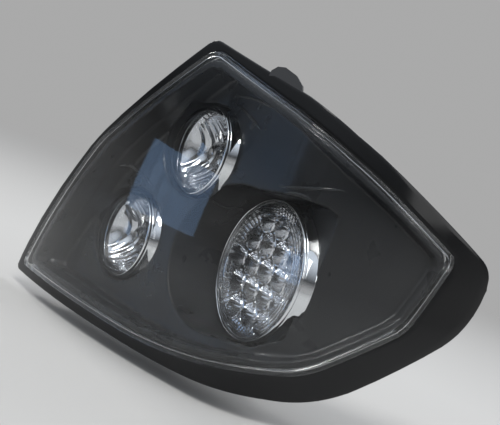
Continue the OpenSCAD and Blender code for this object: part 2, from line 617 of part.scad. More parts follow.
module stud() rotate_extrude($fn = 48)
    polygon([[0, -root_l], [root_r - 0.5, -root_l], [root_r, 0.5 - root_l], [root_r, 0], [stud_r, 0],
        [stud_r, stud_l - 0.8], [stud_r - 0.8, stud_l], [0, stud_l]]);
module stud_upper() color("#b7b9bb") place() at_stud(upper_stud) stud();
module stud_lower() color("#b7b9bb") place() at_stud(lower_stud) stud();
module stud_outer() color("#b7b9bb") place() at_stud(outer_stud) stud();
module ball_stud() color("#b7b9bb") place() forward(ear_boss) {
    disc(2.5, 6.1, 18.1);
    disc(5, 18.05, 19.6);
    disc(2.8, 19.5, 25);
    translate([0, 0, 23 + ball_r]) sphere(ball_r, $fn = 48);
}

module body_gasket() color("#3c3c3a") place()
    band([lens_ring(-rim_out, gasket_d), lens_ring(-rim_out, gasket_d + gasket_t),
        lens_ring(channel_in - slack, gasket_d + gasket_t), lens_ring(channel_in - slack, gasket_d)]);
module vent_caps() color("#262626") place() for (p = vents) at_vent(p) difference() {
    disc(6, -0.5, 8);
    disc(4.1, -1, 5.1);
}

housing();
outer_lens();
lens_sealant();
bezel();
upper_ring();
lower_ring();
stop_ring();
upper_pod_lens();
lower_pod_lens();
stop_pod_lens();
upper_reflector();
lower_reflector();
stop_reflector();
upper_bulb();
lower_bulb();
upper_bulb_holder();
lower_bulb_holder();
upper_holder_seal();
lower_holder_seal();
led_board();
leds();
board_connector();
board_screws();
reflector_screws();
harness_connector();
connector_terminals();
stud_upper();
stud_lower();
stud_outer();
ball_stud();
body_gasket();
vent_caps();
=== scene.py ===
import math
import bmesh
import bpy
import numpy as np
from mathutils import Matrix, Vector
from mathutils.bvhtree import BVHTree


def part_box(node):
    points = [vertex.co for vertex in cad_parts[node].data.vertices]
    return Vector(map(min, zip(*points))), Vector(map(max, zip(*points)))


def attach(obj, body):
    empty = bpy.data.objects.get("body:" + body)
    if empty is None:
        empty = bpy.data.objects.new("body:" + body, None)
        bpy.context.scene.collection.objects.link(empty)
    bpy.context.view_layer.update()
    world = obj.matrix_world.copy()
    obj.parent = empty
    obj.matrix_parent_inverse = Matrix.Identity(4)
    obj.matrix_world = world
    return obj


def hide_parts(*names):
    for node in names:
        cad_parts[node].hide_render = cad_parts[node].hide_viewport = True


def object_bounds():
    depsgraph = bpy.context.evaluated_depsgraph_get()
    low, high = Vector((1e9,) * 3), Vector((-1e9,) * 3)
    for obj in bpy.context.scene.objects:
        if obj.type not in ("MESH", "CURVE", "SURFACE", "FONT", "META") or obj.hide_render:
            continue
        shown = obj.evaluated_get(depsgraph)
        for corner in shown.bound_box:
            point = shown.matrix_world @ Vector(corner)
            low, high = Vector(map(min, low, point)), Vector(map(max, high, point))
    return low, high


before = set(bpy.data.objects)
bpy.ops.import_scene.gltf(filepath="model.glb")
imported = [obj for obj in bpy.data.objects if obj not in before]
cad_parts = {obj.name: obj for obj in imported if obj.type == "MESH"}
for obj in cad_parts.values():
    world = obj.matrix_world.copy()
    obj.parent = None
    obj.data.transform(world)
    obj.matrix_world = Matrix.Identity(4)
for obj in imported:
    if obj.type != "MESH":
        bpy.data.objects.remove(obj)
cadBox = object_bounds()
print("stage: frame loaded")

# Everything is worked out in millimetres in the car's frame, X outboard, Y forward and Z up,
# and turned into metres from the upper stud when a mesh is made.
# x, y, z: middle of the pod's face. flare: how far the ring's foot spreads. rise: height of the
# cover. round: how full its dome is, or 0 for a slice of a ball.
pods = {
    "upper": dict(x=93.5, y=62, z=54.5, outerR=38, innerR=36.2, ringH=11, flare=2.2, rise=16, round=2.3),
    "lower": dict(x=48.5, y=48, z=-37, outerR=38, innerR=36.2, ringH=11, flare=2.2, rise=16, round=2.3),
    "stop": dict(x=164, y=110, z=-17, outerR=59.5, innerR=57.3, ringH=14, flare=1.2, rise=9, round=0),
}
ringLow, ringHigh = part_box("upper_ring")
origin = np.array([
    pods["upper"]["x"] - 500 * (ringLow.x + ringHigh.x),
    pods["upper"]["y"] - 1000 * ringLow.y,
    pods["upper"]["z"] - 500 * (ringLow.z + ringHigh.z),
])


def toRow(points):
    return (np.asarray(points, float).reshape(-1, 3) - origin) / 1000


def addObject(name, data):
    made = bpy.data.objects.new(name, data)
    bpy.context.scene.collection.objects.link(made)
    return made


def finishMesh(mesh, sharpDeg):
    mesh.polygons.foreach_set("use_smooth", [True] * len(mesh.polygons))
    mesh.set_sharp_from_angle(angle=math.radians(sharpDeg))
    mesh.update()


def cleanMesh(name, points, faces, weld=0.0, sliver=0.0):
    # points nearer than weld are joined and edges shorter than sliver go, both in metres
    mesh = bpy.data.meshes.new(name)
    mesh.from_pydata([tuple(p) for p in points], [], [tuple(int(i) for i in f) for f in faces])
    bm = bmesh.new()
    bm.from_mesh(mesh)
    if weld:
        bmesh.ops.remove_doubles(bm, verts=bm.verts, dist=weld)
    if sliver:
        bmesh.ops.dissolve_degenerate(bm, edges=bm.edges, dist=sliver)
    bmesh.ops.recalc_face_normals(bm, faces=bm.faces)
    bm.to_mesh(mesh)
    bm.free()
    return mesh


def addMesh(name, mesh, material, replaced, sharpDeg):
    finishMesh(mesh, sharpDeg)
    mesh.materials.clear()
    mesh.materials.append(material)
    piece = addObject(name, mesh)
    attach(piece, "root")
    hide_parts(*replaced)
    return piece


def addPiece(name, points, faces, material, replaced, sharpDeg):
    mesh = cleanMesh(name, toRow(points), faces, 1e-6)
    return addMesh(name, mesh, material, replaced, sharpDeg)


def mergedMesh(node, name):
    # the solid's triangles joined into one skin, without the normals they came with
    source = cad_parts[node].data
    points, faces = [v.co for v in source.vertices], [p.vertices for p in source.polygons]
    return cleanMesh(name, points, faces, 2e-6, 1e-6)


def smoothCopy(node, name, material, sharpDeg=32):
    return addMesh(name, mergedMesh(node, name), material, (node,), sharpDeg)


# Materials
def setInputs(tree, node, **sockets):
    # each named input is given a value or linked to another node's output
    for key, value in sockets.items():
        into = node.inputs[key.replace("_", " ")]
        if isinstance(value, bpy.types.NodeSocket):
            tree.links.new(value, into)
        else:
            into.default_value = value
    return node


def addNode(tree, kind, **sockets):
    return setInputs(tree, tree.nodes.new(kind), **sockets)


def newMaterial(name, color, rough, **sockets):
    mat = bpy.data.materials.new(name)
    mat.use_nodes = True
    shader = mat.node_tree.nodes["Principled BSDF"]
    return mat, setInputs(mat.node_tree, shader, Base_Color=(*color, 1), Roughness=rough, **sockets)


def showShader(mat, output):
    setInputs(mat.node_tree, mat.node_tree.nodes["Material Output"], Surface=output)


def addNoise(mat, scale, detail=3.0, stretch=(1, 1, 1)):
    coord = addNode(mat.node_tree, "ShaderNodeTexCoord")
    mapping = addNode(mat.node_tree, "ShaderNodeMapping", Vector=coord.outputs["Object"], Scale=stretch)
    noise = addNode(mat.node_tree, "ShaderNodeTexNoise", Vector=mapping.outputs["Vector"], Scale=scale,
                    Detail=detail)
    return noise.outputs["Fac"]


def remap(mat, value, low, high, fromLow=0.3, fromHigh=0.7):
    node = addNode(mat.node_tree, "ShaderNodeMapRange", Value=value, From_Min=fromLow, From_Max=fromHigh,
                   To_Min=low, To_Max=high)
    return node.outputs["Result"]


# places of a Mix node's sockets when it mixes colours
mixSockets = dict(factor=0, first=6, second=7, result=2)


def blendColors(mat, value, first, second):
    node = mat.node_tree.nodes.new("ShaderNodeMix")
    node.data_type = "RGBA"
    node.inputs[mixSockets["first"]].default_value = (*first, 1)
    node.inputs[mixSockets["second"]].default_value = (*second, 1)
    mat.node_tree.links.new(value, node.inputs[mixSockets["factor"]])
    return node.outputs[mixSockets["result"]]


def mixShaders(tree, share, first, second):
    mixer = addNode(tree, "ShaderNodeMixShader", Fac=share)
    tree.links.new(first, mixer.inputs[1])
    tree.links.new(second, mixer.inputs[2])
    return mixer.outputs["Shader"]


def addBump(mat, shader, value, strength, distance):
    bump = addNode(mat.node_tree, "ShaderNodeBump", Height=value, Strength=strength, Distance=distance)
    setInputs(mat.node_tree, shader, Normal=bump.outputs["Normal"])


def mouldedPlastic(name, dark, light, rough, grain, grainDepth, grainShare=0.35, shine=0.5):
    mat, shader = newMaterial(name, dark, sum(rough) / 2, IOR=1.5, Specular_IOR_Level=shine)
    color = blendColors(mat, addNoise(mat, 9), dark, light)
    setInputs(mat.node_tree, shader, Base_Color=color, Roughness=remap(mat, addNoise(mat, 35), *rough))
    addBump(mat, shader, addNoise(mat, grain, 2), grainShare, grainDepth)
    return mat


def metalFinish(name, color, rough, grain, stretch=(1, 1, 1), bump=0.0):
    mat, shader = newMaterial(name, color, sum(rough) / 2, Metallic=1)
    noise = addNoise(mat, grain, 4, stretch)
    setInputs(mat.node_tree, shader, Roughness=remap(mat, noise, *rough))
    if bump:
        addBump(mat, shader, noise, bump, 0.0001)
    return mat


def clearPlastic(name, color, rough, ior=1.49):
    # lamps light what is inside: a shadow ray passes with the plastic's tint
    mat, shader = newMaterial(name, color, rough[0], IOR=ior, Transmission_Weight=1)
    tree = mat.node_tree
    setInputs(tree, shader, Roughness=remap(mat, addNoise(mat, 14), *rough))
    isShadow = addNode(tree, "ShaderNodeLightPath").outputs["Is Shadow Ray"]
    passed = addNode(tree, "ShaderNodeBsdfTransparent", Color=(0.93, 0.94, 0.95, 1))
    showShader(mat, mixShaders(tree, isShadow, shader.outputs["BSDF"], passed.outputs["BSDF"]))
    return mat


glossBlack = mouldedPlastic("glossBlack", (0.006, 0.0062, 0.007), (0.009, 0.0095, 0.010), (0.08, 0.16),
                            240, 0.00003, 0.2, 0.3)
satinBlack = mouldedPlastic("satinBlack", (0.007, 0.0078, 0.009), (0.011, 0.012, 0.0135), (0.26, 0.34),
                            1100, 0.00002, 0.03, 0.3)
# a black lighter than the trim's satinBlack, a painted highlight along the crease beads; it is also
# glossier
creasePaintedHighlight = mouldedPlastic("creasePaintedHighlight", (0.012, 0.013, 0.014), (0.018, 0.019, 0.02), (0.10, 0.16),
                             1100, 0.00002, 0.02)
matBlack = mouldedPlastic("matBlack", (0.028, 0.029, 0.031), (0.04, 0.041, 0.044), (0.45, 0.62),
                          700, 0.00006)
rubberBlack = mouldedPlastic("rubberBlack", (0.02, 0.02, 0.02), (0.032, 0.031, 0.03), (0.7, 0.85),
                             500, 0.0001)
sealRubber = mouldedPlastic("sealRubber", (0.13, 0.045, 0.03), (0.17, 0.06, 0.042), (0.6, 0.75),
                            500, 0.0001)
foamGrey = mouldedPlastic("foamGrey", (0.035, 0.035, 0.035), (0.06, 0.06, 0.058), (0.85, 0.95),
                          1600, 0.0003)
ivoryPlastic = mouldedPlastic("ivoryPlastic", (0.72, 0.68, 0.55), (0.8, 0.77, 0.66), (0.4, 0.5),
                              600, 0.00005)
boardGreen = mouldedPlastic("boardGreen", (0.03, 0.13, 0.05), (0.045, 0.19, 0.08), (0.25, 0.35),
                            300, 0.00004)
chromePlate = metalFinish("chromePlate", (0.86, 0.87, 0.885), (0.02, 0.07), 40)
mirrorCoat = metalFinish("mirrorCoat", (0.84, 0.85, 0.87), (0.03, 0.10), 70)
zincPlate = metalFinish("zincPlate", (0.60, 0.61, 0.63), (0.25, 0.42), 90, (1, 0.3, 1), 0.15)
tinnedBrass = metalFinish("tinnedBrass", (0.72, 0.66, 0.48), (0.22, 0.35), 120)
nickelBase = metalFinish("nickelBase", (0.66, 0.64, 0.60), (0.16, 0.3), 110)
tungsten = metalFinish("tungsten", (0.35, 0.34, 0.33), (0.3, 0.45), 200)
# a low index keeps the studio's mirror image on the lens faint, as in the photo
clearLens = clearPlastic("clearLens", (0.975, 0.985, 0.99), (0.0, 0.02), 1.35)
lensEdge = clearPlastic("lensEdge", (0.95, 0.97, 0.98), (0.15, 0.25))
podClear = clearPlastic("podClear", (0.98, 0.985, 0.99), (0.0, 0.015))
bulbGlass = clearPlastic("bulbGlass", (0.985, 0.985, 0.98), (0.0, 0.01), 1.5)
ledResin, _ = newMaterial("ledResin", (0.86, 0.80, 0.55), 0.12, IOR=1.5)
print("stage: materials made")

# Lens surface: three arcs in plan, crowned from top to bottom
surface = dict(rearR=520, cornerR=75, sideR=480, inboardDeg=5, cornerFromDeg=28, cornerToDeg=78,
               crownR=650, crownZ=-20)
rearL = surface["rearR"] * math.radians(surface["cornerFromDeg"] - surface["inboardDeg"])
sideS = rearL + surface["cornerR"] * math.radians(surface["cornerToDeg"] - surface["cornerFromDeg"])
turnStarts = [math.radians(surface[k]) for k in ("inboardDeg", "cornerFromDeg", "cornerToDeg")]


def facing(s):
    s = np.asarray(s, float)
    a0, a1, a2 = turnStarts
    return np.where(s < rearL, a0 + s / surface["rearR"],
                    np.where(s < sideS, a1 + (s - rearL) / surface["cornerR"],
                             a2 + (s - sideS) / surface["sideR"]))


def sweep(radius, a, b):
    return radius * np.stack([np.sin(b) - np.sin(a), np.cos(a) - np.cos(b)], -1)


def planPoint(s):
    s = np.asarray(s, float)
    a0, a1, a2 = turnStarts
    turn = facing(s)
    rearEnd = sweep(surface["rearR"], a0, a1)
    cornerEnd = rearEnd + sweep(surface["cornerR"], a1, a2)
    return np.where((s < rearL)[..., None], sweep(surface["rearR"], a0, turn),
                    np.where((s < sideS)[..., None], rearEnd + sweep(surface["cornerR"], a1, turn),
                             cornerEnd + sweep(surface["sideR"], a2, turn)))


def skin(s, z, d):
    s, z = np.asarray(s, float), np.asarray(z, float)
    deep = d + surface["crownR"] - np.sqrt(surface["crownR"] ** 2 - (z - surface["crownZ"]) ** 2)
    q, a = planPoint(s), facing(s)
    return np.stack([q[..., 0] - deep * np.sin(a), q[..., 1] + deep * np.cos(a), z], -1)


# Outline corners of the lens and of the flange, clockwise from the lower inboard one:
# place along the plan curve, height, reach of the rounding
lensCorners = np.array([[-34, -103, 8], [24, 31, 10], [104, 136, 11], [268, 101, 60],
                        [400, 48, 10], [374, -20, 10], [300, -77, 20], [170, -103, 50]], float)
flangeCorners = lensCorners + np.array([[-22, -9, -1], [-10, 1, 4], [-10, 8, -3], [-6, 18, 0],
                                        [55, -2, 14], [68, 12, 18], [25, -21, 20], [30, -9, 0]])
bendSteps = 24


def inset(corners, e):
    flat = corners[:, :2]
    u = flat - np.roll(flat, 1, 0)
    u /= np.linalg.norm(u, axis=1)[:, None]
    v = np.roll(u, -1, 0)
    m = np.stack([u[:, 1], -u[:, 0]], 1)
    n = np.stack([v[:, 1], -v[:, 0]], 1)
    moved = flat + e * (m + n) / (1 + (m * n).sum(1))[:, None]
    return np.column_stack([moved, corners[:, 2]])


def bendPoints(corners, i, f):
    c = corners[i, :2]
    back, ahead = corners[i - 1, :2] - c, corners[(i + 1) % len(corners), :2] - c
    a = c + back / np.linalg.norm(back) * corners[i, 2]
    b = c + ahead / np.linalg.norm(ahead) * corners[i, 2]
    f = np.asarray(f)[:, None]
    return a * (1 - f) ** 2 + c * 2 * f * (1 - f) + b * f ** 2


def reachAt(corners, i):
    a, b = bendPoints(corners, i, [0, 1])[:, 0]
    return (a - corners[i, 0]) / (a - 2 * corners[i, 0] + b)


def edges(corners):
    # upper and lower edge, each from bend 0, inboard, to bend 4, outboard
    f = np.linspace(0, 1, bendSteps + 1)
    r0, r4 = reachAt(corners, 0), reachAt(corners, 4)
    upper = [(0, r0 + (1 - r0) * f), (1, f), (2, f), (3, f), (4, r4 * f)]
    lower = [(0, r0 * (1 - f)), (7, 1 - f), (6, 1 - f), (5, 1 - f), (4, 1 - (1 - r4) * f)]
    return [np.concatenate([bendPoints(corners, i, share) for i, share in bends])
            for bends in (upper, lower)]


columns = dict(gap=0.0022, end=0.0003, endZone=0.01, endGap=0.25)


def columnShares(corners, extra):
    # shares of the width at which columns stand: dense wherever either edge bends, and at the ends
    upper, lower = edges(corners)
    low, high = upper[0, 0], upper[-1, 0]
    shares = np.concatenate([(upper[:, 0] - low) / (high - low), (lower[:, 0] - low) / (high - low),
                             np.linspace(0, 1, extra)])
    shares = np.sort(shares[(shares > columns["end"]) & (shares < 1 - columns["end"])])
    kept = [0.0]
    for x in shares:
        gap = columns["gap"] * (columns["endGap"] if min(x, 1 - x) < columns["endZone"] else 1)
        if x - kept[-1] > gap and 1 - x > gap:
            kept.append(float(x))
    return np.array(kept + [1.0])


lensShares = columnShares(lensCorners, 130)


def outline(corners, e, shares):
    upper, lower = edges(inset(corners, e))
    s = upper[0, 0] + shares * (upper[-1, 0] - upper[0, 0])
    up = np.column_stack([s, np.interp(s, upper[:, 0], upper[:, 1])])
    low = np.column_stack([s, np.interp(s, lower[:, 0], lower[:, 1])])
    return low, up


def outlineLoop(corners, e, shares):
    low, up = outline(corners, e, shares)
    return np.concatenate([low, up[-2:0:-1]])


def ringOf(corners, e, d, shares=lensShares):
    loop = outlineLoop(corners, e, shares)
    return skin(loop[:, 0], loop[:, 1], d)


def stripFaces(first, second, n):
    return [(first + k, first + (k + 1) % n, second + (k + 1) % n, second + k) for k in range(n)]


def bandFaces(count, n):
    return [f for i in range(count) for f in stripFaces(i * n, ((i + 1) % count) * n, n)]


def capFaces(base, n, inner, rows):
    # fill between the lower and upper halves of a ring, column by column
    cols = n // 2

    def spot(j, i):
        if j in (0, cols) or i == 0:
            return base + j
        if i == rows:
            return base + n - j
        return inner + (j - 1) * (rows - 1) + i - 1

    faces = []
    for j in range(cols):
        for i in range(rows):
            quad = list(dict.fromkeys([spot(j, i), spot(j, i + 1), spot(j + 1, i + 1), spot(j + 1, i)]))
            if len(quad) > 2:
                faces.append(quad)
    return faces


def capPoints(e, d, rows):
    low, up = outline(lensCorners, e, lensShares)
    f = np.linspace(0, 1, rows + 1)[1:-1]
    grid = low[1:-1, None, :] + (up - low)[1:-1, None, :] * f[None, :, None]
    grid = grid.reshape(-1, 2)
    return skin(grid[:, 0], grid[:, 1], d)


# the foot stands in the housing's channel; frost: its rows of faces, counted from the front
lens = dict(wall=2.8, footD=11, footIn=3, footEdge=0.3, skirtD=4, midD=7.5, shoulder=1.8, innerShoulder=0.8,
            frost=(6, 11), rows=36)


def lensShell():
    # rings of points, each an inset and a depth, from the face round the foot to the inside
    arc = np.radians(np.linspace(0, 90, 6))
    sh, foot, deep, edge = lens["shoulder"], lens["footIn"], lens["footD"], lens["footEdge"]
    innerTop, innerWide = lens["wall"] + sh, sh * lens["innerShoulder"]
    steps = [(sh * (1 - math.sin(a)), sh * (1 - math.cos(a))) for a in arc]
    steps += [(0, lens["skirtD"]), (0, lens["midD"]), (0, deep - edge), (edge, deep), (foot - edge, deep),
              (foot, deep - edge), (foot, lens["midD"])]
    steps += [(foot + innerWide * (1 - math.cos(a)), innerTop - sh * math.sin(a)) for a in arc]
    rings = [ringOf(lensCorners, e, d) for e, d in steps]
    n = len(rings[0])
    points = np.concatenate(rings)
    last = (len(rings) - 1) * n
    front = capPoints(steps[0][0], 0, lens["rows"])
    back = capPoints(steps[-1][0], lens["wall"], lens["rows"])
    faces = [f for i in range(len(rings) - 1) for f in stripFaces(i * n, (i + 1) * n, n)]
    faces += capFaces(0, n, len(points), lens["rows"])
    faces += [f[::-1] for f in capFaces(last, n, len(points) + len(front), lens["rows"])]
    piece = addPiece("outerLens", np.concatenate([points, front, back]), faces, clearLens,
                     ("outer_lens",), 40)
    # the foot keeps the mould's frosted finish
    piece.data.materials.append(lensEdge)
    frosted = np.zeros(len(piece.data.polygons), int)
    frosted[lens["frost"][0] * n:lens["frost"][1] * n] = 1
    piece.data.polygons.foreach_set("material_index", frosted)


lensShell()
print("stage: outer lens made")

# depths are behind the lens's face; proud: how far this skin stands off the solid
flange = dict(front=5, thick=3, proud=0.12, edge=0.9, channelOut=1, channelD=9.5, innerWall=3.3, steps=5,
              leastShare=0.0006)
flangeShares = np.unique(np.concatenate([columnShares(flangeCorners, 90), columnShares(lensCorners, 90)]))
flangeShares = flangeShares[np.append(True, np.diff(flangeShares) > flange["leastShare"])]
flangeShares[-1] = 1


def flangeSkin():
    # the gloss face of the flange, from its rounded outer edge to the lip beside the lens
    proud, edge, lip, wall = flange["proud"], flange["edge"], -flange["channelOut"], -flange["innerWall"]
    face, back = flange["front"] - proud, flange["front"] + flange["thick"] + proud
    rim = [(-proud + edge * (1 - math.cos(a)), face + edge * (1 - math.sin(a)))
           for a in np.radians(np.linspace(0, 90, 5))]
    rings = [ringOf(flangeCorners, e, d, flangeShares) for e, d in rim]
    start = outlineLoop(flangeCorners, -proud + edge, flangeShares)
    inner = outlineLoop(lensCorners, lip - 0.4, flangeShares)
    for k in range(1, flange["steps"] + 1):
        loop = start + (inner - start) * k / flange["steps"]
        rings.append(skin(loop[:, 0], loop[:, 1], face))
    channel = [(lip - 0.1, face + 0.1), (lip + 0.02, face + 0.5), (lip + 0.02, flange["channelD"]),
               (wall, flange["channelD"]), (wall, back)]
    rings += [ringOf(lensCorners, e, d, flangeShares) for e, d in channel]
    backEdge = [(edge - proud, back), (0, back - 0.15), (-proud, back - 0.7)]
    rings += [ringOf(flangeCorners, e, d, flangeShares) for e, d in backEdge]
    addPiece("flangeSkin", np.concatenate(rings), bandFaces(len(rings), len(rings[0])), glossBlack,
             ("housing",), 40)


flangeSkin()
print("stage: flange made")


# Round pieces: radius r and depth z are measured from the middle of a pod's face
def circleAt(pod, r, z, steps):
    return [(pod["x"] + r * math.cos(a), pod["y"] + z, pod["z"] - r * math.sin(a))
            for a in (2 * math.pi * k / steps for k in range(steps))]


def turned(profile, pod, steps, closed=False):
    profile = np.asarray(profile, float)
    points, index = [], []
    for r, z in profile:
        if r < 1e-6:
            index.append([len(points)] * steps)
            points.append((pod["x"], pod["y"] + z, pod["z"]))
            continue
        index.append(list(range(len(points), len(points) + steps)))
        points += circleAt(pod, r, z, steps)
    faces = []
    for i in range(len(profile) if closed else len(profile) - 1):
        a, b = index[i], index[(i + 1) % len(profile)]
        for k in range(steps):
            m = (k + 1) % steps
            quad = list(dict.fromkeys([a[k], a[m], b[m], b[k]]))
            if len(quad) > 2:
                faces.append(quad)
    return np.array(points), faces


def arcPoints(cx, cz, radius, a0, a1, steps):
    return [(cx + radius * math.cos(math.radians(a)), cz + radius * math.sin(math.radians(a)))
            for a in np.linspace(a0, a1, steps)]


def chromeRing(name, pod):
    # a turned trim ring with a rolled front edge, a fine groove near it and a flare at its foot
    ro, ri, h, wide = pod["outerR"], pod["innerR"], pod["ringH"], pod["flare"]
    lip = (ro - ri) / 2
    profile = arcPoints(ro - lip, lip, lip, 180, 360, 13)
    profile += [(ro, 2.2), (ro - 0.25, 2.45), (ro - 0.25, 2.9), (ro + 0.05, 3.15)]
    profile += [(ro + 0.05 + wide * u ** 1.8, 3.15 + (h - 3.35) * u) for u in np.linspace(0.1, 1, 10)]
    profile += [(ro + wide, h - 0.1), (ri, h - 0.1)]
    points, faces = turned(profile, pod, 192, True)
    addPiece(name + "Ring", points, faces, chromePlate, (name + "_ring",), 50)


for podName, pod in pods.items():
    chromeRing(podName, pod)

cover = dict(wall=2.4, gap=0.2, skirt=3, stopSkirt=4, stopRibs=(54.2, 52, 49.8, 47.6))


def podCover(name, pod, skirt, ribs=()):
    r, rise, t = pod["innerR"] - cover["gap"], pod["rise"], cover["wall"]
    domeR = (r * r + rise * rise) / 2 / rise
    centre = domeR - rise
    innerStop = r - t
    if pod["round"]:
        # a fuller dome that stands up steeply from its rim
        n, turn = pod["round"], np.radians(np.linspace(0, 90, 40))
        outer = [(r * math.sin(a) ** (2 / n), -rise * max(math.cos(a), 0) ** (2 / n)) for a in turn]
        inner = [(innerStop * x / r, y * (rise - t) / rise) for x, y in outer[::-1]]
    else:
        outer = [(domeR * math.sin(a), centre - domeR * math.cos(a))
                 for a in np.linspace(0, math.asin(min(1, r / domeR)), 30)]
        innerR = domeR - t
        inner = [(innerR * math.sin(a), centre - innerR * math.cos(a))
                 for a in np.linspace(math.asin(innerStop / innerR), 0, 44)]
    for ribR in ribs:
        inner = [p for p in inner if abs(p[0] - ribR) > 0.75]
        z = centre - math.sqrt(innerR ** 2 - ribR ** 2)
        bump = [(ribR + 0.6, z + 0.1), (ribR + 0.45, z + 1.1), (ribR, z + 1.35), (ribR - 0.45, z + 1.1),
                (ribR - 0.6, z)]
        cut = next((i for i, p in enumerate(inner) if p[0] < ribR), len(inner))
        inner = inner[:cut] + bump + inner[cut:]
    profile = outer + [(r, 0.3), (r, skirt), (innerStop, skirt)] + inner
    points, faces = turned(profile, pod, 160)
    addPiece(name + "Cover", points, faces, podClear, (name + "_pod_lens",), 40)


podCover("upper", pods["upper"], cover["skirt"])
podCover("lower", pods["lower"], cover["skirt"])
podCover("stop", pods["stop"], cover["stopSkirt"], cover["stopRibs"])
print("stage: rings and covers made")

bowl = dict(focus=6.9, mouthR=34, mouthZ=3.2, neckR=13, neckLip=1, wall=1.8, flute=4.6, tiers=3, depth=1.0,
            steps=50, backSteps=9, turns=288)


def smallReflector(name, pod):
    # a parabola with upright flutes that fade at mouth and neck, each tier of them a little pillowed
    mouthR, neckR, steps, turns = (bowl[k] for k in ("mouthR", "neckR", "steps", "turns"))

    def parabola(r):
        return bowl["mouthZ"] + (mouthR ** 2 - r * r) / 4 / bowl["focus"]

    rows = []
    for i in range(steps + 1):
        u = i / steps
        r = mouthR + (neckR - mouthR) * u
        slope = math.atan2(r / 2 / bowl["focus"], 1)
        fade = min(1, u * 18, (1 - u) * 12)
        pillowV = 1 - abs(2 * (u * bowl["tiers"] % 1) - 1) ** 2
        for k in range(turns):
            a = 2 * math.pi * k / turns
            pillowH = 1 - abs(2 * ((r * math.cos(a) / bowl["flute"]) % 1) - 1) ** 2
            push = bowl["depth"] * fade * (pillowH * 0.85 + pillowV * 0.15)
            rr, zz = r - push * math.sin(slope), parabola(r) - push * math.cos(slope)
            rows.append((pod["x"] + rr * math.cos(a), pod["y"] + zz, pod["z"] - rr * math.sin(a)))
    outerR, neckZ = neckR + bowl["wall"], parabola(neckR)
    back = [(neckR, neckZ + bowl["neckLip"]), (outerR, neckZ + bowl["neckLip"]), (outerR, neckZ)]
    for i in range(1, bowl["backSteps"] + 1):
        r = neckR + (mouthR - neckR) * i / bowl["backSteps"]
        back.append((r + bowl["wall"], parabola(r)))
    for r, z in back:
        rows += circleAt(pod, r, z, turns)
    addPiece(name + "Reflector", rows, bandFaces(len(rows) // turns, turns), mirrorCoat,
             (name + "_reflector",), 28)


smallReflector("upper", pods["upper"])
smallReflector("lower", pods["lower"])

# The large pod's plate: cups with raised lips, and round them a rim that rises from rimR outwards
# and has teeth from teethR outwards. Depths are behind the pod's face.
cups = dict(pitch=22, front=8, depth=15.5, holeR=3.3, petals=8, petalDepth=1.3, cupR=9.5, lip=1.5,
            lipWide=0.7, lipReach=2.5, rimR=46.5, rimWide=8, rimDrop=0.8, rimRise=3.6, teethR=47,
            toothDepth=0.7, teeth=72, plateR=56, faceR=54.4, faceD=4.3, backD=26, grid=0.41)


def cupPlaces():
    places = [(0.0, 0.0)]
    for reach, start in ((1, 0), (2, 0), (math.sqrt(3), 30)):
        for a in range(start, 360, 60):
            r = reach * cups["pitch"]
            places.append((r * math.cos(math.radians(a)), r * math.sin(math.radians(a))))
    return np.array(places)


def cupDepth(x, y):
    c = cups
    r = np.hypot(x, y)
    slope = np.clip((r - c["rimR"]) / c["rimWide"], 0, 1)
    teeth = np.abs(np.sin(np.arctan2(y, x) * c["teeth"] / 2)) * np.clip((r - c["teethR"]) / 2, 0, 1)
    depth = c["front"] + c["rimDrop"] - c["rimRise"] * slope + c["toothDepth"] * teeth
    cupR, holeR = c["cupR"], c["holeR"]
    for cx, cy in cupPlaces():
        q = np.hypot(x - cx, y - cy)
        a = np.arctan2(y - cy, x - cx)
        share = np.clip((cupR ** 2 - np.clip(q, holeR, None) ** 2) / (cupR ** 2 - holeR ** 2), 0, 1)
        fade = np.clip(share * 3, 0, 1)
        petal = np.abs(np.sin(a * c["petals"] / 2)) ** 0.8 * fade * np.clip((q - holeR) / 2, 0, 1)
        inside = c["front"] + c["depth"] * share - c["petalDepth"] * (1 - petal) * fade * (q > holeR)
        depth = np.where(q < cupR, np.maximum(inside, c["front"]), depth)
        lip = c["lip"] * np.exp(-((q - cupR) / c["lipWide"]) ** 2)
        depth = np.where(q < cupR + c["lipReach"], depth - lip, depth)
    return np.clip(depth, c["front"] - 3.4, c["front"] + c["depth"] + 0.6)


